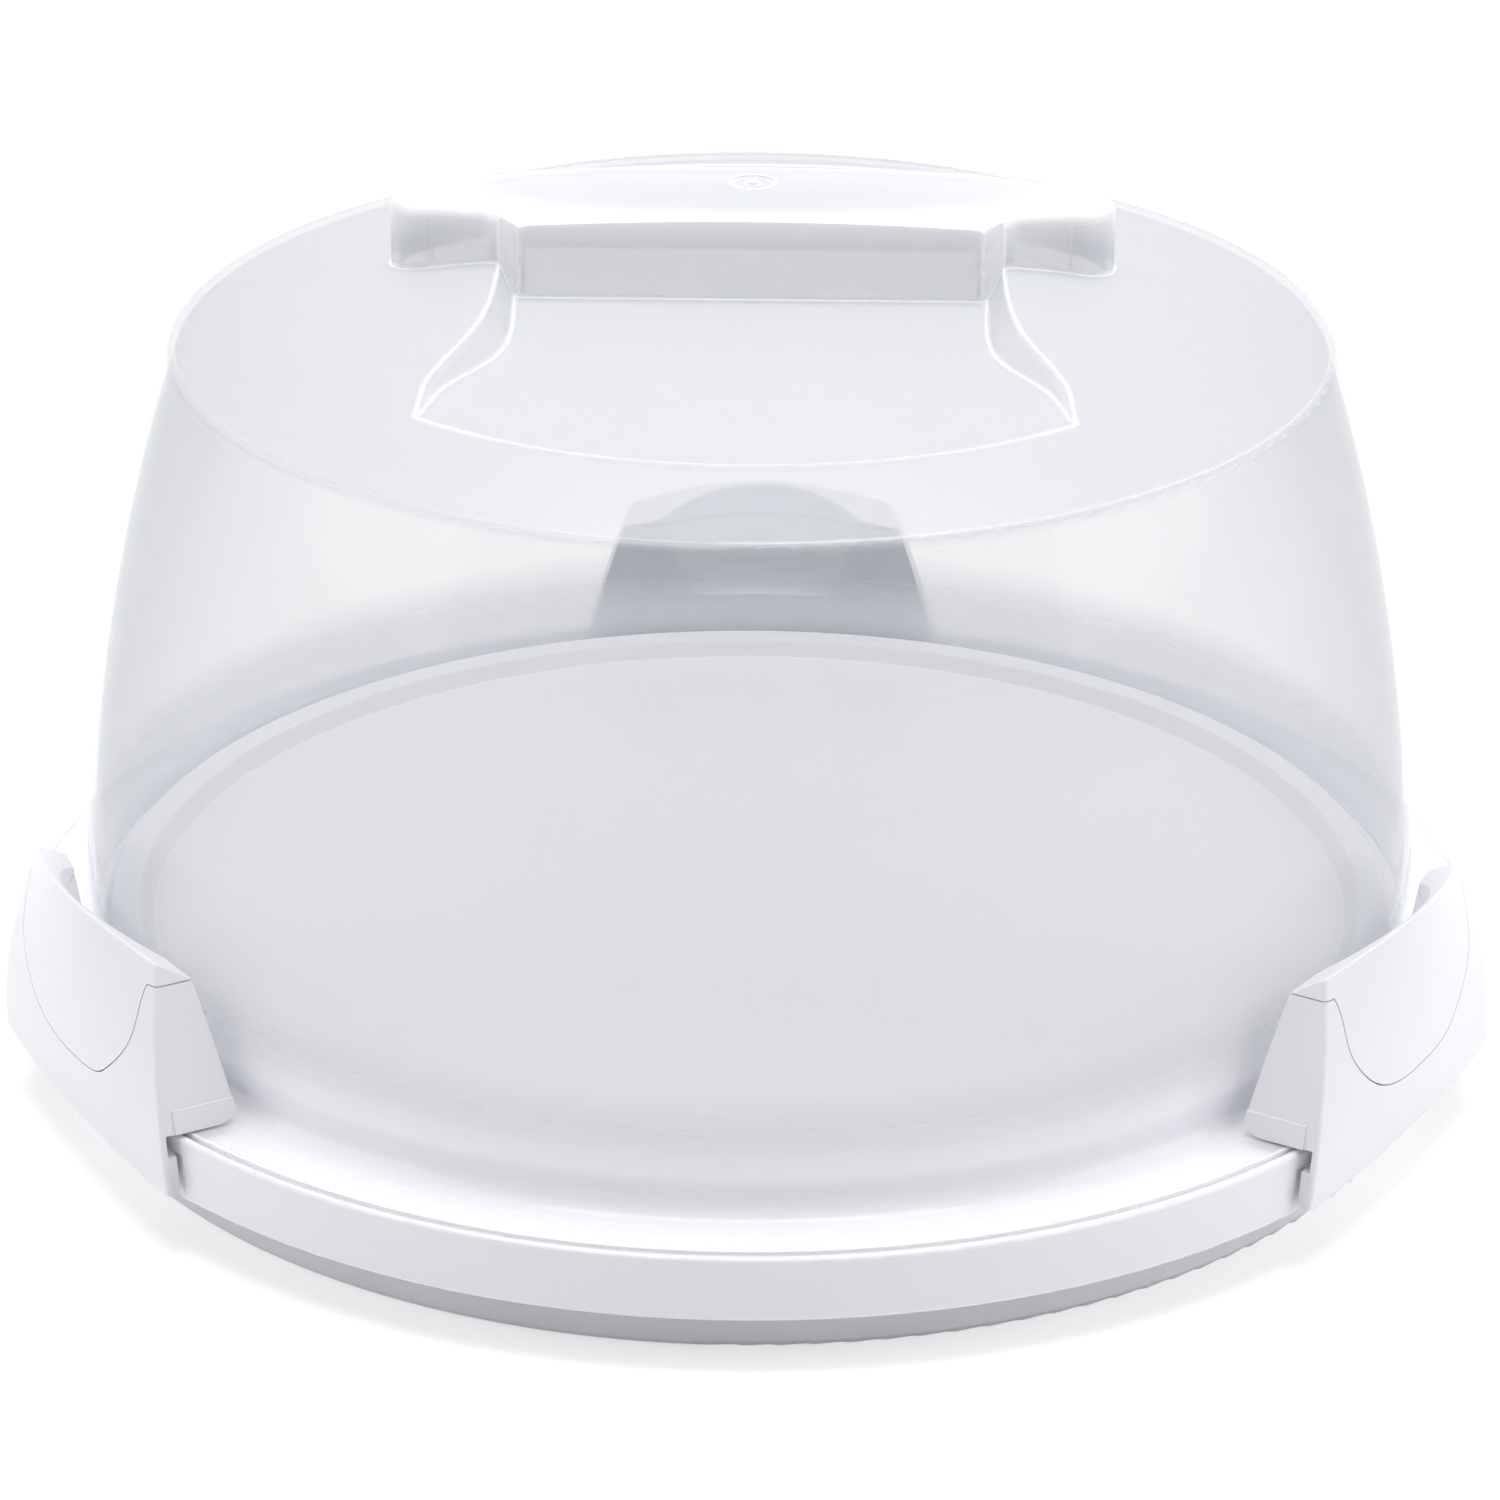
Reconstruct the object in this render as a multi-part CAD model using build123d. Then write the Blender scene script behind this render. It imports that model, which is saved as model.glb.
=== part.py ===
from build123d import *
import math
import os

os.makedirs("parts", exist_ok=True)

# Round cake carrier, in millimetres: a round tray on a soft foot ring, a
# domed cover with a moulded-in carrying bar, and three latches that hinge on
# the tray's rim and hook over the cover's flange. The origin is the centre of
# the foot, on the table. +Z is up, and the carrying bar runs along X.

# ---------------------------------------------------------------- tray
rim_radius = 178.0            # outside of the tray's rim
rim_bottom = 12.8             # lower edge of the rim's skirt
ledge_height = 26.3           # face that carries the cover's flange
lip_height = 1.7              # lip that stands around the flange
lip_round = 0.8
skirt_round = 0.6
rim_wall = 2.2
tray_wall = 2.4
rim_flat = 4.0                # depth of the flat on the rim behind each latch
plateau_inset = 21.2          # from the rim in to the raised floor
plateau_rise = 8.2            # bead around the raised floor, above the ledge
bead_width = 7.0
bead_rise = 3.5               # bead above the face that the cake stands on
step_draft = 1.4
foot_wall_inset = 13.3        # from the rim in to the wall that stands in the foot
foot_wall = 2.3
rib_count = 18
rib_wall = 1.8
rib_height = 9.0
rib_ring_radius = 62.0
web_gap = 3.8                 # from a latch's end to the web beside it

# ---------------------------------------------------------------- foot ring
foot_lap = 2.7                # rubber outside the tray's foot wall
foot_width = 8.0
foot_height = 11.0
foot_floor = 4.0              # rubber under the tray's foot wall
foot_round = 1.6
seat_gap = 0.05               # play between pieces that stay together

# ---------------------------------------------------------------- cover
cover_wall = 1.8
flange_wall = 2.0
flange_gap = 0.5              # play between the flange and the rim's lip
flange_play = 0.1             # and under the flange, on the ledge
wall_inset = 17.5             # from the rim in to the foot of the cover's wall
wall_foot = 7.7               # straight foot of the wall, above the flange
wall_lean = 24.6              # how far the wall leans in up to the crown
deck_height = 175.2           # edge between the wall and the crown
crown_rise = 26.7
deck_round = 3.0
flange_round = 5.0
wall_curve = 1.9              # how the wall's lean grows towards the crown

# ---------------------------------------------------------------- carrying bar
bar_length = 168.0
bar_half_width = 21.0         # half the bar's width between the finger pockets
bar_grip = 53.0               # half the length of the wide stretch
bar_neck = 14.0               # half its width just past the pockets
bar_end = 10.5                # half its width near the ends
bar_rise = 10.1               # bar above the middle of the crown
bar_drop = 3.6                # how much lower the bar is at its ends
bar_crown = 3.4               # how much lower its top is along the sides
bar_round = 3.0
bar_foot = 0.4                # how much wider the bar is at the pocket's floor
pocket_margin = 29.9          # from the crown's edge in to the pocket's floor
pocket_step = 4.6             # how far its corners reach round the bar's flank
pocket_step_low = 0.3
pocket_flare = 14.7           # how much wider its floor is at the front
pocket_waist = 4.0            # how much narrower the floor is at its middle
pocket_depth = 11.4           # floor at the bar, below the middle of the crown
pocket_fall = 8.5             # how much lower the floor is at the front
pocket_brim = 5.9             # the pocket's back corners, above its floor
pocket_draft = 64.0           # slope of the pocket's front and sides
bar_draft = 3.0
gate_radius = 5.0             # shallow dimple left by the mould's gate
gate_depth = 0.5

# ---------------------------------------------------------------- latches
latch_angles = {"left": 210.0, "right": 330.0, "rear": 90.0}
latch_lift = 2.0              # foot of the latch above the rim's lower edge
latch_height = 57.0           # to the highest point of the form
latch_half_width = 49.0
latch_taper = 16.0            # how much narrower each end is at the top
latch_edge_in = 2.4           # ends of the outer face, inside the rim's radius
latch_edge_lean = 6.9         # how far those ends lean in at the top
latch_swell = 5.0             # how far the middle of the face bellies out
latch_edge_round = 1.4
latch_wall = 2.3
cap_height = 10.8             # cap above the seam between it and the body
cap_lip = 0.4                 # thickness of its thin edge next to the cover
cap_lip_start = 2.4           # where that edge starts, outside the cover's wall
cap_round = 0.5
latch_slope = 31.0            # tilt of the cap's top, down towards the cover
latch_gap = 3.4               # room between the latch and the cover's wall
latch_draft = 5.5             # how the latch leans away from the cover
hook_play = 0.6               # room between the hook and the flange
nose_round = 5.0
nose_floor = 3.2
throat_gap = 0.7              # room around the rim's lip
flank_gap = 1.0               # room between the latch's ends and the rim
scoop_radius = 44.0           # finger space between the cap and the cover
scoop_inset = 4.2             # from the rim in to the scoop's far side
scoop_depth = 20.0
scoop_draft = 14.0
pad_wall = 2.2
pad_depth = 1.2               # dish of the thumb pad
pad_half_width = 34.5
pad_height = 30.0             # thumb pad below the seam
pad_lean = 2.0                # how much narrower it is where its side turns
pad_band = 1.6                # plain band above the thumb pad
seam = 0.3                    # open line between cap and body
ridge_rise = 19.6             # fine ridge on the end plates, above their foot
ridge_proud = 0.4

# ---------------------------------------------------------------- hinges
pin_radius = 1.25
pin_reach = 33.0              # half the pin's length
hinge_offset = 5.6            # pin axis inside the rim's radius
hinge_drop = 8.7              # pin axis below the underside of the ledge
hinge_play = 0.05
knuckle_radius = 2.4
ear_centre = 22.0
ear_width = 5.0
ear_gap = 0.4
window_half = 44.0            # half the gap in the skirt behind a latch

# heights and radii that follow from the sizes above
lip_top = ledge_height + lip_height
ledge_bottom = ledge_height - tray_wall
plateau_top = ledge_height + plateau_rise
floor_height = plateau_top - bead_rise
flange_bottom = ledge_height + flange_play
flange_top = flange_bottom + flange_wall
wall_start = flange_top + wall_foot
apex_height = deck_height + crown_rise
bar_top = apex_height + bar_rise
pocket_back_height = apex_height - pocket_depth
pocket_front_height = pocket_back_height - pocket_fall
pocket_brim_height = pocket_back_height + pocket_brim
latch_bottom = rim_bottom + latch_lift
latch_split = latch_bottom + latch_height - cap_height
nose_bottom = flange_top + hook_play
scoop_floor = latch_split - scoop_depth
pad_bottom = latch_split - pad_height
ridge_height = latch_bottom + ridge_rise
hinge_height = ledge_bottom - hinge_drop
plateau_radius = rim_radius - plateau_inset
foot_wall_radius = rim_radius - foot_wall_inset
foot_radius = foot_wall_radius + foot_lap
flat_distance = rim_radius - rim_flat
hinge_radius = rim_radius - hinge_offset
flange_radius = rim_radius - rim_wall - flange_gap
wall_radius = rim_radius - wall_inset
deck_radius = wall_radius - wall_lean
crown_radius = (deck_radius**2 + crown_rise**2) / (2 * crown_rise)
pocket_back = bar_half_width + bar_foot
pocket_radius = deck_radius - pocket_margin
pocket_corner = bar_grip + pocket_flare
floor_slope = math.degrees(math.atan2(pocket_fall, pocket_radius - pocket_back))
everything = 2 * rim_radius


def ring(outer, inner, bottom, top):
    """A plain ring about the middle."""
    wall = Cylinder(outer, top - bottom) - Cylinder(inner, top - bottom)
    return Pos(0, 0, (top + bottom) / 2) * wall


def slab(x_low, x_high, half_width, bottom, top):
    """A block that is centred on the X axis."""
    block = Box(x_high - x_low, 2 * half_width, top - bottom)
    return Pos((x_low + x_high) / 2, 0, (bottom + top) / 2) * block


def at_latches(piece):
    """The same piece at each of the three latches."""
    return [Rot(0, 0, angle) * piece for angle in latch_angles.values()]


def rim_outline(inset):
    """The round rim with a flat at each latch, drawn in by an inset."""
    face = Sketch() + Circle(rim_radius - inset)
    flat = Pos(flat_distance - inset + rim_radius / 2, 0) * Rectangle(rim_radius, everything)
    for angle in latch_angles.values():
        face -= Rot(0, 0, angle) * flat
    return face


# ---------------------------------------------------------------- tray
def raised_floor():
    """The dished floor that the cake stands on, with its bead and step."""
    bead_inner = plateau_radius - step_draft - bead_width
    ramp = plateau_top - floor_height
    top_line = [
        (0, floor_height),
        (bead_inner - ramp, floor_height),
        (bead_inner, plateau_top),
        (plateau_radius - step_draft, plateau_top),
        (plateau_radius, ledge_height),
        (foot_wall_radius, ledge_height),
        (foot_wall_radius, ledge_bottom),
        (plateau_radius - tray_wall, ledge_bottom),
        (plateau_radius - step_draft - tray_wall, plateau_top - tray_wall),
        (bead_inner + tray_wall / 2, plateau_top - tray_wall),
        (bead_inner - ramp + tray_wall / 2, floor_height - tray_wall),
        (0, floor_height - tray_wall),
    ]
    profile = make_face(Plane.XZ * Polyline(*top_line, close=True))
    floor = revolve(profile, Axis.Z)
    crest = floor.edges().filter_by(GeomType.CIRCLE).group_by(Axis.Z)[-1]
    return fillet(crest, tray_wall / 3)


def tray_ribs():
    """Ribs under the floor that run out to the foot wall."""
    top = floor_height - tray_wall
    bottom = top - rib_height
    inner = foot_wall_radius - foot_wall
    middle = rib_ring_radius
    ribs = ring(middle + rib_wall / 2, middle - rib_wall / 2, bottom, top)
    step_line = plateau_radius - step_draft - tray_wall
    rib = slab(middle, inner, rib_wall / 2, bottom, top)
    rib -= slab(step_line, everything, rib_wall, ledge_bottom, everything)
    for number in range(rib_count):
        ribs += Rot(0, 0, 360 / rib_count * (number + 0.5)) * rib
    return ribs


def hinge_ear():
    """One ear that hangs under the ledge and holds the latch's pin."""
    knuckle = Pos(hinge_radius, hinge_height) * Circle(knuckle_radius)
    root = foot_wall_radius - foot_wall / 2
    arm = make_face(
        Polyline(
            (root, ledge_bottom),
            (hinge_radius + knuckle_radius / 2, ledge_bottom),
            (hinge_radius + knuckle_radius, hinge_height),
            (hinge_radius, hinge_height - knuckle_radius / 2),
            (root, hinge_height + knuckle_radius),
            close=True,
        )
    )
    hole = Pos(hinge_radius, hinge_height) * Circle(pin_radius + hinge_play)
    plate = extrude(Plane.XZ * (knuckle + arm - hole), ear_width / 2, both=True)
    return plate


def tray():
    """The tray, moulded in one piece."""
    body = raised_floor()
    ledge_face = rim_outline(rim_wall / 2) - Circle(foot_wall_radius - foot_wall)
    body += Pos(0, 0, ledge_bottom) * extrude(ledge_face, tray_wall)
    wall_face = rim_outline(0) - rim_outline(rim_wall)
    skirt = Pos(0, 0, rim_bottom) * extrude(wall_face, ledge_bottom - rim_bottom)
    window = slab(plateau_radius + foot_wall, everything, window_half, 0, ledge_bottom)
    corner = slab(hinge_radius - flank_gap, everything, latch_half_width, 0, ledge_bottom)
    for opening in at_latches(window + corner):
        skirt -= opening
    body += fillet(skirt.edges().group_by(Axis.Z)[0], skirt_round)
    lip = Pos(0, 0, ledge_bottom) * extrude(wall_face, lip_top - ledge_bottom)
    body += fillet(lip.edges().group_by(Axis.Z)[-1], lip_round)
    body += ring(foot_wall_radius, foot_wall_radius - foot_wall, foot_floor, ledge_height)
    body += tray_ribs()
    web = slab(foot_wall_radius - foot_wall / 2, rim_radius, rim_wall / 2, rim_bottom, ledge_height)
    web &= Pos(0, 0, rim_bottom) * Cylinder(
        rim_radius - rim_wall / 2, everything, align=(Align.CENTER, Align.CENTER, Align.MIN)
    )
    web_turn = math.degrees(math.asin((latch_half_width + web_gap) / rim_radius))
    for side in (-1, 1):
        for piece in at_latches(Rot(0, 0, side * web_turn) * web):
            body += piece
        for piece in at_latches(Pos(0, side * ear_centre, 0) * hinge_ear()):
            body += piece
    return body


# ---------------------------------------------------------------- foot ring
def foot_ring():
    """A soft ring with a groove that the tray's foot wall stands in."""
    foot = ring(foot_radius, foot_radius - foot_width, 0, foot_height)
    foot = fillet(foot.edges().filter_by(GeomType.CIRCLE), foot_round)
    groove_outer = foot_wall_radius + seat_gap
    groove_inner = foot_wall_radius - foot_wall - seat_gap
    return foot - ring(groove_outer, groove_inner, foot_floor, everything)


# ---------------------------------------------------------------- cover
def wall_point(share, inset):
    """A point on the wall, at a share of the way from flange to crown."""
    height = wall_start + share * (deck_height - wall_start)
    lean = (wall_radius - deck_radius) * share**wall_curve
    return (wall_radius - lean - inset, height)


def dome(inset):
    """The cover's turned form, filled, drawn in by an inset."""
    shares = (0.0, 0.25, 0.5, 0.75, 1.0)
    points = [wall_point(share, inset) for share in shares]
    edge_radius, edge_height = points[-1][0], points[-1][1] - inset
    points[-1] = (edge_radius, edge_height)
    reach = crown_radius - inset
    centre_height = apex_height - crown_radius
    edge_height = centre_height + math.sqrt(reach**2 - edge_radius**2)
    points[-1] = (edge_radius, edge_height)
    middle = edge_radius / 2
    crown_middle = (middle, centre_height + math.sqrt(reach**2 - middle**2))
    wall_line = Spline(*points)
    crown_line = ThreePointArc(points[-1], crown_middle, (0, apex_height - inset))
    start = points[0]
    foot = (start[0], flange_bottom)
    rest = Polyline((0, apex_height - inset), (0, flange_bottom), foot, start)
    profile = make_face(Curve() + [wall_line, crown_line, rest])
    corner = profile.vertices().sort_by_distance((edge_radius, edge_height))[0]
    profile = fillet(corner, deck_round - inset / 2)
    return revolve(Plane.XZ * profile, Axis.Z)


def bar_outline(inset):
    """The bar from above: wide between the pockets, narrow at its ends."""
    half = bar_length / 2 - inset
    wide, neck, end = bar_half_width - inset, bar_neck - inset, bar_end - inset
    neck_x = bar_grip + (bar_half_width - bar_neck)
    tip = half - end
    points = [(bar_grip, wide), (neck_x, neck), (tip, end)]
    upper = Polyline(*[(-x, y) for x, y in reversed(points)], *points)
    lower = Polyline(*[(x, -y) for x, y in reversed(points)], *[(-x, -y) for x, y in points])
    right = ThreePointArc((tip, end), (half, 0), (tip, -end))
    left = ThreePointArc((-tip, -end), (-half, 0), (-tip, end))
    outline = make_face(Curve() + [upper, right, lower, left])
    corners = outline.vertices().filter_by(lambda corner: abs(corner.X) < tip - inset)
    return fillet(corners, bar_neck / 2 - inset)


def bar_top_form(inset):
    """A block with the bar's softly crowned top, drawn in by an inset."""
    top = bar_top - inset
    arch_radius = (bar_length / 2) ** 2 / (2 * bar_drop)
    side = bar_half_width * 1.5
    low = top - bar_crown * 1.5**2
    arc = ThreePointArc((-side, low), (0, top), (side, low))
    frame = Polyline((side, low), (side, 0), (-side, 0), (-side, low))
    section = make_face(Plane.YZ * (Curve() + [arc, frame]))
    axis = Axis((0, 0, bar_top - arch_radius), (0, 1, 0))
    sweep = 2 * math.degrees(math.atan2(bar_length, 2 * arch_radius)) * 1.2
    block = revolve(section, axis, sweep)
    return block.rotate(axis, -sweep / 2)


def carrying_bar(inset):
    """The bar across the crown, drawn in by an inset."""
    block = Pos(0, 0, pocket_front_height) * extrude(bar_outline(inset), everything)
    block &= bar_top_form(inset)
    block -= Pos(0, 0, bar_top) * Cylinder(gate_radius, 2 * gate_depth)
    crowned = block.faces().filter_by(GeomType.TORUS).sort_by(SortBy.AREA)[-1]
    return fillet(crowned.outer_wire().edges(), bar_round - inset / 2)


def pocket_level(height, step, inset):
    """One level section of the finger pocket in front of the bar."""
    rise = height - pocket_front_height
    spread = rise * math.tan(math.radians(pocket_draft)) + inset
    reach = pocket_radius + spread
    corner_x = pocket_corner + spread
    corner_y = -math.sqrt(reach**2 - corner_x**2)
    back = -pocket_back + rise * math.tan(math.radians(bar_draft)) + inset
    back_x = bar_grip - inset * (math.sqrt(2) - 1)
    side_x = bar_grip + step + inset
    side_y = back + side_x - back_x
    waist = (bar_grip - pocket_waist + 0.75 * spread, 0.5 * (back + corner_y))
    flare = (0.4 * waist[0] + 0.6 * corner_x, back + 0.75 * (corner_y - back))
    out, along = (-0.6, 0.8), (0, 1)
    front = ThreePointArc((-corner_x, corner_y), (0, -reach), (corner_x, corner_y))
    right_side = Spline((corner_x, corner_y), flare, waist, (side_x, side_y), tangents=[out, along])
    back_line = Polyline((side_x, side_y), (back_x, back), (-back_x, back), (-side_x, side_y))
    left_side = mirror(right_side, Plane.YZ)
    return Pos(0, 0, height) * make_face(Curve() + [front, right_side, back_line, left_side])


def finger_pocket(inset):
    """What the finger pocket in front of the bar takes out of the crown."""
    levels = [
        pocket_level(pocket_front_height - inset - seam, pocket_step_low, inset),
        pocket_level(pocket_back_height - cover_wall, pocket_step_low, inset),
        pocket_level(pocket_brim_height, pocket_step, inset),
        pocket_level(bar_top + cover_wall, pocket_step, inset),
    ]
    block = loft(levels, ruled=True)
    floor = Pos(0, -pocket_back, pocket_back_height - inset) * Rot(floor_slope, 0, 0)
    above = floor * Pos(0, 0, everything / 2) * Box(2 * everything, 2 * everything, everything)
    return block & above


def cover_form(inset):
    """The whole cover, filled, drawn in by an inset."""
    form = dome(inset) + carrying_bar(inset)
    pocket = finger_pocket(inset)
    return form - pocket - Rot(0, 0, 180) * pocket


def flange_fillet(radius, bottom, size):
    """A ring that rounds the corner outside a wall of a given radius."""
    block = Pos(radius + size / 2, bottom + size / 2) * Rectangle(size, size)
    block -= Pos(radius + size, bottom + size) * Circle(size)
    return revolve(Plane.XZ * block, Axis.Z)


def cover():
    """The cover, moulded in one piece with its flange and carrying bar."""
    flange_face = Sketch() + Circle(flange_radius)
    flat = flat_distance - rim_wall - flange_gap
    cut = Pos(flat + rim_radius / 2, 0) * Rectangle(rim_radius, everything)
    for angle in latch_angles.values():
        flange_face -= Rot(0, 0, angle) * cut
    flange = Pos(0, 0, flange_bottom) * extrude(flange_face, flange_wall)
    flange += flange_fillet(wall_radius, flange_top, flange_round)
    shell = cover_form(0) + flange - cover_form(cover_wall)
    inner_round = flange_round + cover_wall
    shell -= flange_fillet(wall_radius - cover_wall, flange_bottom, inner_round)
    nub = Pos(0, 0, bar_top - gate_depth) * Cylinder(gate_radius / 4, 1.6 * gate_depth)
    return shell + nub


# ---------------------------------------------------------------- latches
def latch_level(share, inset, dish):
    """One level section of the latch, from its foot (0) to its top (1)."""
    height = latch_bottom + share * latch_height
    half = latch_half_width - latch_taper * share**1.5 - inset
    belly = share * (1 - share)
    edge = rim_radius - latch_edge_in - latch_edge_lean * share**2
    edge += latch_swell * belly * 2 / 3 - inset
    centre = rim_radius + latch_swell * belly - share**2 - inset
    centre -= dish * math.sin(math.pi * min(1.0, max(0.0, share * 1.1 - 0.3)))
    arc = ThreePointArc((edge, -half), (centre, 0), (edge, half))
    back = rim_radius * 0.8
    rest = Polyline((edge, half), (back, half), (back, -half), (edge, -half))
    return Pos(0, 0, height) * make_face(Curve() + [arc, rest])


def latch_form(inset, dish=0.0):
    """The latch's outer form, filled and running in past the cover."""
    shares = (0.0, 0.25, 0.5, 0.75, 1.0)
    form = loft([latch_level(share, inset, dish) for share in shares])
    return form


def rounded_form():
    """The latch's form with the long edges of its face rounded."""
    form = latch_form(0)
    long_edges = form.edges().sort_by(Axis.X)[-5:]
    upright = long_edges.filter_by(lambda edge: abs(edge.center().Y) > latch_half_width / 2)
    return fillet(upright, latch_edge_round)


def above_slope(drop):
    """What lies above the cap's sloping top, lowered by a drop."""
    start = wall_radius + cap_lip_start
    block = Box(2 * everything, 2 * everything, everything)
    lifted = Pos(0, 0, everything / 2) * block
    return Pos(start, 0, latch_split + cap_lip - drop) * Rot(0, -latch_slope, 0) * lifted


def scoop(wall):
    """Finger space behind the cap, wider by a wall."""
    depth = latch_split - scoop_floor
    narrow = scoop_radius - depth * math.tan(math.radians(scoop_draft)) + wall
    top_rise = latch_bottom + latch_height - scoop_floor
    wide = narrow + top_rise * math.tan(math.radians(scoop_draft))
    cone = Cone(narrow, wide, top_rise, align=(Align.CENTER, Align.CENTER, Align.MIN))
    return Pos(rim_radius - scoop_inset - scoop_radius, 0, scoop_floor - wall) * cone


def pad_outline(growth):
    """The thumb pad's outline from the front, as a prism along X."""
    half = pad_half_width + growth
    low = pad_bottom - growth
    split = latch_split + seam
    rise = split - low
    bend = (half - pad_lean, low + 0.58 * rise)
    turn = (half * 0.66, low + 0.19 * rise)
    side = Spline((half, split), bend, turn, (0, low), tangents=[(-0.3, -1), (-1, 0)])
    other = Spline(
        (0, low), (-turn[0], turn[1]), (-bend[0], bend[1]), (-half, split), tangents=[(-1, 0), (-0.3, 1)]
    )
    lid = Polyline((-half, split), (-half, everything), (half, everything), (half, split))
    face = make_face(Curve() + [side, other, lid])
    return extrude(Plane.YZ * face, everything)


def cover_side(growth):
    """The round space that the cover's wall needs beside a latch."""
    low = wall_radius + latch_gap + growth
    rise = everything - nose_bottom
    high = low + rise * math.tan(math.radians(latch_draft))
    cone = Cone(low, high, rise, align=(Align.CENTER, Align.CENTER, Align.MIN))
    return Pos(0, 0, nose_bottom) * cone


def hook_rounding():
    """Rounds the hook's lower edge, next to the cover's wall."""
    reach = wall_radius + latch_gap
    return flange_fillet(reach, nose_bottom, nose_round)


def end_ridges():
    """The slightly proud lower part of each end plate, up to a fine ridge."""
    skin = latch_form(-ridge_proud) - latch_form(latch_wall / 2)
    block = slab(0, hinge_radius, everything, latch_bottom, ridge_height)
    return skin & block


def hinge_knuckle(low, high):
    """One knuckle of the latch about its pin, between two places along it."""
    width = high - low
    round_face = Pos(hinge_radius, hinge_height) * Circle(knuckle_radius)
    arm_low = latch_bottom
    arm_high = hinge_height + knuckle_radius
    arm_end = rim_radius - latch_wall / 2
    arm = Pos((hinge_radius + arm_end) / 2, (arm_low + arm_high) / 2) * Rectangle(
        arm_end - hinge_radius, arm_high - arm_low
    )
    hole = Pos(hinge_radius, hinge_height) * Circle(pin_radius + seat_gap / 2)
    piece = extrude(Plane.XZ * (round_face + arm - hole), width / 2, both=True)
    return Pos(0, (low + high) / 2, 0) * piece


def latch_body():
    """The latch's hollow body, with its hook, end plates and knuckles."""
    hollow = latch_form(latch_wall)
    roof = slab(0, everything, everything, latch_split - latch_wall, everything)
    hollow -= roof + cover_side(latch_wall) + scoop(latch_wall)
    hollow -= slab(0, hinge_radius - flank_gap, everything, 0, nose_bottom + nose_floor)
    body = rounded_form() + end_ridges() - hollow
    body -= slab(0, hinge_radius + seam, everything, 0, ledge_bottom)
    body -= slab(0, flat_distance + throat_gap, everything, ledge_bottom, nose_bottom)
    body -= cover_side(0) + scoop(0) + hook_rounding()
    body -= slab(0, everything, everything, latch_split, everything)
    recess = pad_outline(seam) - latch_form(pad_wall + seat_gap)
    body -= recess
    inner_end = ear_centre - ear_width / 2 - ear_gap
    outer_start = ear_centre + ear_width / 2 + ear_gap
    body += hinge_knuckle(-inner_end, inner_end)
    body += hinge_knuckle(outer_start, pin_reach)
    body += hinge_knuckle(-pin_reach, -outer_start)
    return body


def latch_cap():
    """The cap on top of the latch, with the thumb pad that hangs from it."""
    whole = rounded_form()
    pad = pad_outline(0)
    skin = whole - latch_form(pad_wall)
    lower = slab(0, everything, everything, 0, latch_split + seam)
    cap = whole - lower
    cap += skin & pad & lower
    cap -= above_slope(0)
    cap -= cover_side(0) + scoop(0)
    dished = whole - latch_form(0, pad_depth)
    cap -= dished & pad - above_slope(pad_band)
    flat_faces = cap.faces().filter_by(GeomType.PLANE).sort_by(Axis.Z)
    rim = flat_faces[-1].outer_wire().edges()
    scoop_side = rim.filter_by(GeomType.ELLIPSE).sort_by(SortBy.LENGTH)[-1]
    return fillet(rim.filter_by(GeomType.BSPLINE) + [scoop_side], cap_round)


def hinge_pin():
    """A plain pin through the ears and the knuckles."""
    pin = Rot(90, 0, 0) * Cylinder(pin_radius, 2 * pin_reach)
    return Pos(hinge_radius, 0, hinge_height) * pin


# ---------------------------------------------------------------- write
def write(node, shape):
    """Writes one sub-part as its own STEP file."""
    shape.label = node
    export_step(shape, "parts/" + node + ".step")


write("base_tray", tray())
write("foot_ring", foot_ring())
write("cover_dome", cover())
body_piece, cap_piece, pin_piece = latch_body(), latch_cap(), hinge_pin()
for side, angle in latch_angles.items():
    turn = Rot(0, 0, angle)
    write("latch_body_" + side, turn * body_piece)
    write("latch_cap_" + side, turn * cap_piece)
    write("hinge_pin_" + side, turn * pin_piece)
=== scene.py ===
import math
import bpy
from mathutils import Matrix, Vector

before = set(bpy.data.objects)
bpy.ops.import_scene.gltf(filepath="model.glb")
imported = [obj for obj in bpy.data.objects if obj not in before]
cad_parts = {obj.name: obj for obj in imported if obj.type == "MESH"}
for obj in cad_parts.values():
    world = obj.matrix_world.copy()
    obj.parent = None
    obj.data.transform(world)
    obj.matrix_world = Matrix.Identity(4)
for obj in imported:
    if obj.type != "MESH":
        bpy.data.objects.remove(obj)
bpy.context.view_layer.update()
print("frame loaded:", len(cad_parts), "nodes")


# a value socket that can be used in plain arithmetic
class Wire:
    def __init__(self, paint, socket):
        self.paint = paint
        self.socket = socket

    def math(self, operation, first, second, clamp=False):
        settings = {"operation": operation, "use_clamp": clamp}
        return self.paint.node("Math", settings, {0: first, 1: second})

    def __add__(self, other):
        return self.math("ADD", self, other)

    def __radd__(self, other):
        return self.math("ADD", other, self)

    def __sub__(self, other):
        return self.math("SUBTRACT", self, other)

    def __rsub__(self, other):
        return self.math("SUBTRACT", other, self)

    def __mul__(self, other):
        return self.math("MULTIPLY", self, other)

    def __rmul__(self, other):
        return self.math("MULTIPLY", other, self)

    def __pow__(self, other):
        return self.math("POWER", self, other)

    def __rpow__(self, other):
        return self.math("POWER", other, self)

    def clamped(self):
        return self.math("ADD", self, 0.0, clamp=True)


edgeDetail = {
    "samples": 6,
    "gain": 45.0,                # how soon a corner counts as an edge
}


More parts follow.
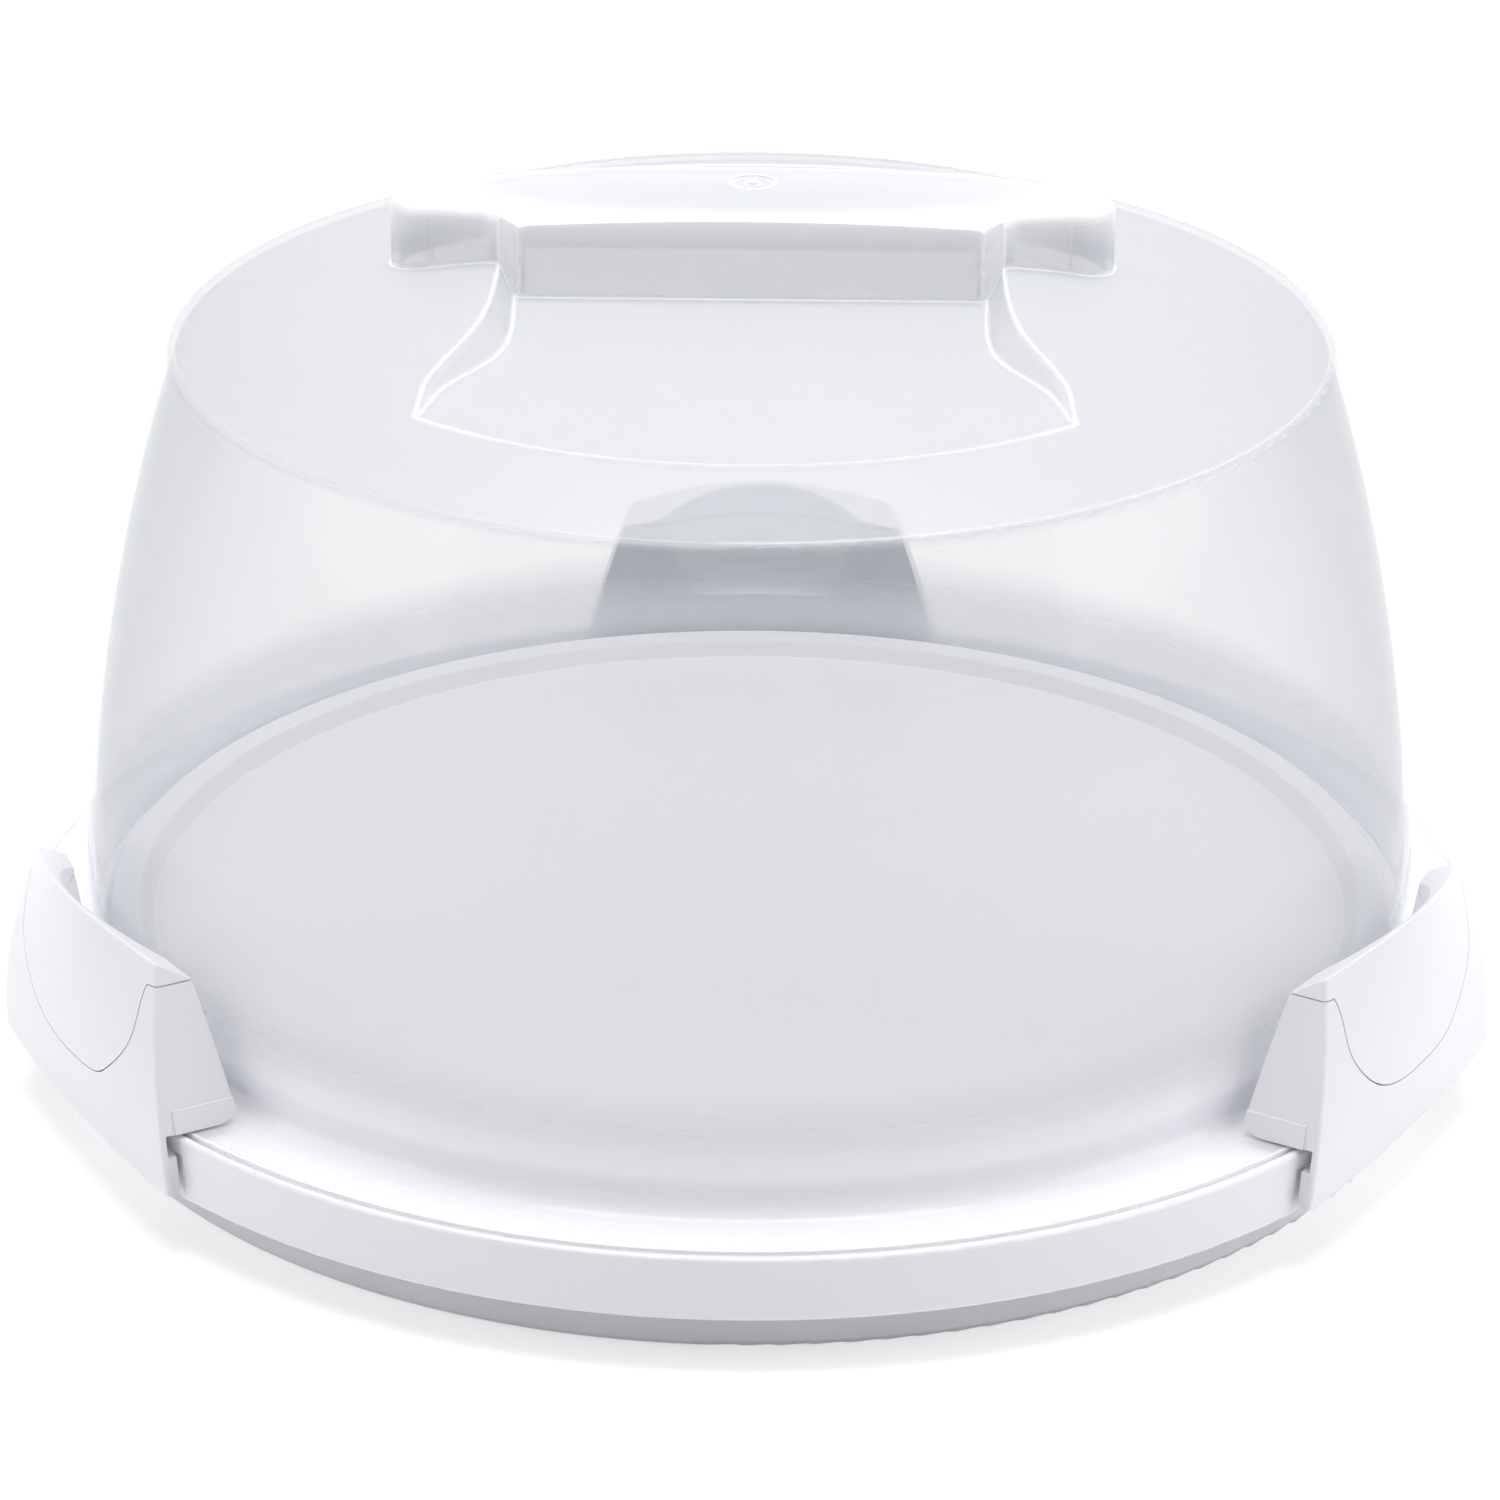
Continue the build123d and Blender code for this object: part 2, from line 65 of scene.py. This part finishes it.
# the nodes of a material or a world, and the one way they are made
class Paint:
    def __init__(self, owner, shaderName, fixed):
        owner.use_nodes = True
        self.owner = owner
        self.tree = owner.node_tree
        self.shader = self.tree.nodes[shaderName]
        for socketName, value in fixed.items():
            self.shader.inputs[socketName].default_value = value

    def node(self, kind, settings=None, values=None, out=0):
        made = self.tree.nodes.new("ShaderNode" + kind)
        for name, value in (settings or {}).items():
            setattr(made, name, value)
        for key, value in (values or {}).items():
            if isinstance(value, Wire):
                self.tree.links.new(value.socket, made.inputs[key])
            else:
                made.inputs[key].default_value = value
        return Wire(self, made.outputs[out])

    def feed(self, socketName, wire):
        self.tree.links.new(wire.socket, self.shader.inputs[socketName])

    def mixColours(self, factor, first, second):
        values = {0: factor, 6: first, 7: second}
        return self.node("Mix", {"data_type": "RGBA"}, values, out=2)

    def along(self, axis):
        # metres from the carrier's middle, along one axis
        place = self.node("TexCoord", out="Object")
        return self.node("SeparateXYZ", values={0: place}, out=axis)

    def noise(self, scale, detail):
        place = self.node("TexCoord", out="Object")
        values = {"Scale": scale, "Detail": detail, "Vector": place}
        return self.node("TexNoise", values=values)

    def patches(self, look):
        # one colour drifting into a near one, as moulded plastic does
        cloud = self.noise(look["patchScale"], look["patchDetail"])
        return self.mixColours(cloud, look["colour"], look["shade"])

    def handled(self, look):
        # soft cloudy gloss, as handling leaves it
        low, high = look["rough"]
        return self.noise(look["roughScale"], 2.0) * (high - low) + low

    def step(self, wire, low, high):
        values = {"Value": wire, "From Min": low, "From Max": high}
        settings = {"interpolation_type": "SMOOTHSTEP"}
        return self.node("MapRange", settings, values)

    def softEdges(self, radius):
        settings = {"samples": edgeDetail["samples"]}
        return self.node("Bevel", settings, {"Radius": radius}, out="Normal")

    def edges(self, soft):
        # 0 on smooth faces, 1 where two faces meet at an angle
        turned = {0: self.node("NewGeometry", out="Normal"), 1: soft}
        settings = {"operation": "DOT_PRODUCT"}
        alike = self.node("VectorMath", settings, turned, out="Value")
        return ((1.0 - alike) * edgeDetail["gain"]).clamped()

    def grain(self, look, normal=None):
        # the fine skin of the mould, over soft edges where there are any
        values = {
            "Height": self.noise(look["grainScale"], look["grainDetail"]),
            "Strength": look["grainStrength"],
            "Distance": look["grainDepth"],
        }
        if normal:
            values["Normal"] = normal
        return self.node("Bump", values=values)


def newFinish(name, fixed):
    material = bpy.data.materials.new(name)
    return Paint(material, "Principled BSDF", fixed)


def rgb(red, green, blue):
    # a colour as it is seen, turned into the shader's linear values
    def linear(value):
        share = value / 255
        if share <= 0.04045:
            return share / 12.92
        return ((share + 0.055) / 1.055) ** 2.4
    return (linear(red), linear(green), linear(blue), 1.0)


trayLook = {
    "ior": 1.49,
    "colour": rgb(243, 243, 247),
    "shade": rgb(240, 240, 244),
    "patchScale": 9.0,
    "patchDetail": 3.0,
    # painted highlight: the colour painted along the tray's edges
    "edgeColour": rgb(253, 253, 255),
    "edgeRadius": 0.0008,
    "rough": (0.2, 0.26),
    "roughScale": 28.0,
    "grainScale": 900.0,
    "grainDetail": 1.0,
    "grainStrength": 0.04,
    "grainDepth": 0.0004,
}


def trayPlastic():
    look = trayLook
    paint = newFinish("trayPlastic", {"IOR": look["ior"]})
    soft = paint.softEdges(look["edgeRadius"])
    # painted highlight: the tray's edges are painted whiter
    edge = paint.edges(soft)
    colour = paint.mixColours(edge, paint.patches(look), look["edgeColour"])
    paint.feed("Base Color", colour)
    paint.feed("Roughness", paint.handled(look))
    paint.feed("Normal", paint.grain(look, soft))
    return paint.owner


latchLook = {
    "ior": 1.5,
    "colour": rgb(238, 238, 243),
    "shade": rgb(235, 235, 240),
    "patchScale": 25.0,
    "patchDetail": 3.0,
    "rough": (0.3, 0.36),
    "roughScale": 45.0,
    "grainScale": 1100.0,
    "grainDetail": 1.0,
    "grainStrength": 0.04,
    "grainDepth": 0.0003,
}


def latchPlastic():
    look = latchLook
    paint = newFinish("latchPlastic", {"IOR": look["ior"]})
    paint.feed("Base Color", paint.patches(look))
    paint.feed("Roughness", paint.handled(look))
    paint.feed("Normal", paint.grain(look))
    return paint.owner


footLook = {
    "ior": 1.45,
    "colour": rgb(240, 240, 245),
    "shade": rgb(233, 233, 238),
    "patchScale": 40.0,
    "patchDetail": 4.0,
    "edgeRadius": 0.0006,
    "rough": (0.5, 0.66),
    "roughScale": 60.0,
    "grainScale": 2200.0,
    "grainDetail": 2.0,
    "grainStrength": 0.12,
    "grainDepth": 0.0003,
}


def footRubber():
    look = footLook
    paint = newFinish("footRubber", {"IOR": look["ior"]})
    paint.feed("Base Color", paint.patches(look))
    paint.feed("Roughness", paint.handled(look))
    paint.feed("Normal", paint.grain(look, paint.softEdges(look["edgeRadius"])))
    return paint.owner


pinLook = {
    "ior": 1.5,
    "colour": rgb(226, 226, 230),
    "shade": rgb(214, 214, 220),
    "patchScale": 60.0,
    "patchDetail": 2.0,
    "rough": (0.3, 0.4),
    "roughScale": 90.0,
}


def pinPlastic():
    paint = newFinish("pinPlastic", {"IOR": pinLook["ior"]})
    paint.feed("Base Color", paint.patches(pinLook))
    paint.feed("Roughness", paint.handled(pinLook))
    return paint.owner


# alpha is for one surface; a wall has two. Heights and lengths are in metres.
coverLook = {
    "ior": 1.49,
    "clear": rgb(164, 168, 174),
    "clearAlpha": 0.165,
    "clearRough": 0.09,
    # painted light: a whiter, more opaque band low on the wall that lifts the
    # shade there
    "foot": rgb(244, 245, 249),
    "footAlpha": 0.56,
    "footHeights": (0.036, 0.06),
    "flangeHeights": (0.031, 0.034),
    "milky": rgb(200, 202, 208),
    "milkyAlpha": 0.4,
    "milkyRough": 0.3,
    "milkyHeights": (0.1733, 0.1757),
    # painted light: the bar is whiter and more opaque than the crown, standing
    # in for light passing through the plastic and covering the shade inside it
    "bar": rgb(252, 253, 255),
    "barAlpha": 0.72,
    "barHeights": (0.196, 0.21),
    # painted shade: the bar's top is darker than its front, where the top lamp
    # falls on it
    "barTop": rgb(216, 218, 223),
    "barTopHeights": (0.2085, 0.2105),
    "barEnds": (0.058, 0.064),
    # painted highlight: the colour painted along the cover's edges, and the
    # opacity that lets it show
    "edge": rgb(247, 248, 250),
    "edgeRadius": 0.0016,
    "edgeAlpha": 0.75,
    "edgeLossAtBarEnds": 0.85,
    "hazeScale": 14.0,
    "hazeDetail": 3.0,
    "hazeAlpha": 0.06,
    "grazeBlend": 0.35,
    "grazePower": 2.5,
    "grazeAlpha": 0.55,
    "shadowShare": 0.18,
    "grainScale": 18.0,
    "grainDetail": 1.0,
    "grainStrength": 0.06,
    "grainDepth": 0.004,
}


def coverPlastic():
    look = coverLook
    paint = newFinish("coverPlastic", {"IOR": look["ior"]})
    height = paint.along("Z")

    # from the foot up: flange, a foot band of painted light, clear wall, milky
    # crown, bar with painted light on its front and painted shade on its top
    flange = 1.0 - paint.step(height, *look["flangeHeights"])
    foot = 1.0 - paint.step(height, *look["footHeights"])
    milk = paint.step(height, *look["milkyHeights"])
    bar = paint.step(height, *look["barHeights"])
    barTop = paint.step(height, *look["barTopHeights"])
    endStart, endFull = look["barEnds"]
    ends = paint.step(paint.along("X") ** 2.0, endStart ** 2, endFull ** 2) * bar

    # painted highlight: edges are painted whiter and more opaque, but hardly at
    # the bar's ends
    edge = paint.edges(paint.softEdges(look["edgeRadius"])) * (milk + flange)
    edge = edge * (1.0 - ends * look["edgeLossAtBarEnds"])

    wall = paint.mixColours(foot, look["clear"], look["foot"])
    crown = paint.mixColours(bar, look["milky"], look["bar"])
    # painted shade on the bar's top
    crown = paint.mixColours(barTop, crown, look["barTop"])
    body = paint.mixColours(milk, wall, crown)
    paint.feed("Base Color", paint.mixColours(edge, body, look["edge"]))

    haze = paint.noise(look["hazeScale"], look["hazeDetail"]) - 0.5
    values = {"Blend": look["grazeBlend"]}
    graze = paint.node("LayerWeight", values=values, out="Facing")
    alpha = milk * (look["milkyAlpha"] - look["clearAlpha"]) + look["clearAlpha"]
    # painted light: the bar and the foot band are made more opaque so that their
    # whiter colour shows
    alpha = alpha + bar * (look["barAlpha"] - look["milkyAlpha"])
    alpha = alpha + foot * (look["footAlpha"] - look["clearAlpha"])
    alpha = alpha + haze * look["hazeAlpha"] * milk
    alpha = alpha + graze ** look["grazePower"] * look["grazeAlpha"]
    # painted highlight: the edges are made more opaque so that their whiter
    # colour shows
    alpha = alpha + edge * look["edgeAlpha"]
    # the plastic lets most of the lamps' light into the carrier
    shadow = paint.node("LightPath", out="Is Shadow Ray")
    alpha = alpha.clamped() * (1.0 - shadow * (1.0 - look["shadowShare"]))
    paint.feed("Alpha", alpha)

    rough = milk * (look["milkyRough"] - look["clearRough"]) + look["clearRough"]
    paint.feed("Roughness", rough)
    paint.feed("Normal", paint.grain(look))
    return paint.owner


finishes = {
    "base_tray": trayPlastic(),
    "foot_ring": footRubber(),
    "cover_dome": coverPlastic(),
    "hinge_pin": pinPlastic(),
    "latch": latchPlastic(),
}
for nodeName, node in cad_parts.items():
    for start, finish in finishes.items():
        if nodeName.startswith(start):
            node.data.materials.clear()
            node.data.materials.append(finish)
print("finishes on:", len(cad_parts), "nodes")


stageLook = {
    "floorSize": 14.0,
    "floorColour": (0.83, 0.83, 0.835, 1.0),
    "floorRough": 0.8,
    "floorGlow": 0.45,
    "skyBack": 0.74,
    "skyFront": 0.28,
    "skyTurn": (-0.9, 0.6),      # where the sky goes from front to back
    "white": (1.0, 1.0, 1.0, 1.0),
}


def seenDirectly(paint):
    # 1 for what the camera, a reflection or a clear part looks at
    path = paint.node("LightPath", out="Is Camera Ray")
    glossy = paint.node("LightPath", out="Is Glossy Ray")
    through = paint.node("LightPath", out="Is Transmission Ray")
    return (path + glossy + through).clamped()


def addFloor(look):
    bpy.ops.mesh.primitive_plane_add(size=look["floorSize"])
    floor = bpy.context.object
    floor.name = "floor"
    paint = newFinish("floorPaper", {
        "Roughness": look["floorRough"],
        "Base Color": look["floorColour"],
        "Emission Color": look["white"],
    })
    paint.feed("Emission Strength", seenDirectly(paint) * look["floorGlow"])
    floor.data.materials.append(paint.owner)


def addSky(look):
    # brighter behind and above than towards the front
    world = bpy.data.worlds.new("studio")
    bpy.context.scene.world = world
    paint = Paint(world, "Background", {"Color": look["white"]})
    place = paint.node("TexCoord", out="Generated")
    back = paint.node("SeparateXYZ", values={0: place}, out="Y")
    rise = paint.step(back, *look["skyTurn"])
    light = rise * (look["skyBack"] - look["skyFront"]) + look["skyFront"]
    seen = seenDirectly(paint)
    paint.feed("Strength", light * (1.0 - seen) + seen)


lampLooks = {
    "top": {"place": (0.0, 0.1, 1.6), "size": 1.0, "power": 14.0},
    "left": {"place": (-1.6, -0.6, 0.8), "size": 1.2, "power": 7.5},
    "right": {"place": (1.7, -0.5, 0.8), "size": 1.2, "power": 10.5},
}
lampTarget = (0.0, 0.0, 0.08)


def addLamp(name, look):
    data = bpy.data.lights.new(name, "AREA")
    data.energy = look["power"]
    data.size = look["size"]
    lamp = bpy.data.objects.new(name, data)
    lamp.location = look["place"]
    towards = Vector(lampTarget) - Vector(look["place"])
    lamp.rotation_euler = towards.to_track_quat("-Z", "Y").to_euler()
    bpy.context.scene.collection.objects.link(lamp)


cameraLook = {
    "distance": 1.1483,          # across the floor, from the carrier's middle
    "height": 0.5811,
    "target": (0.0, 0.0, 0.0681),
    "turn": 1.0,                 # degrees round the carrier
    "roll": 0.27,                # degrees
    "lens": 124.6,
    "sensor": 36.0,
    "near": 0.05,
    "far": 30.0,
}


def addCamera(look):
    data = bpy.data.cameras.new("camera")
    data.lens = look["lens"]
    data.sensor_width = look["sensor"]
    data.clip_start = look["near"]
    data.clip_end = look["far"]
    camera = bpy.data.objects.new("camera", data)
    turn = math.radians(look["turn"])
    across = look["distance"] * math.sin(turn)
    forward = look["distance"] * math.cos(turn)
    camera.location = (across, -forward, look["height"])
    towards = Vector(look["target"]) - camera.location
    rotation = towards.to_track_quat("-Z", "Y").to_matrix()
    roll = Matrix.Rotation(math.radians(look["roll"]), 3, "Z")
    camera.rotation_euler = (rotation @ roll).to_euler()
    bpy.context.scene.collection.objects.link(camera)
    bpy.context.scene.camera = camera


addFloor(stageLook)
addSky(stageLook)
for lampName, lampLook in lampLooks.items():
    addLamp(lampName, lampLook)
addCamera(cameraLook)
bpy.context.scene.view_settings.view_transform = "Standard"
print("stage ready")
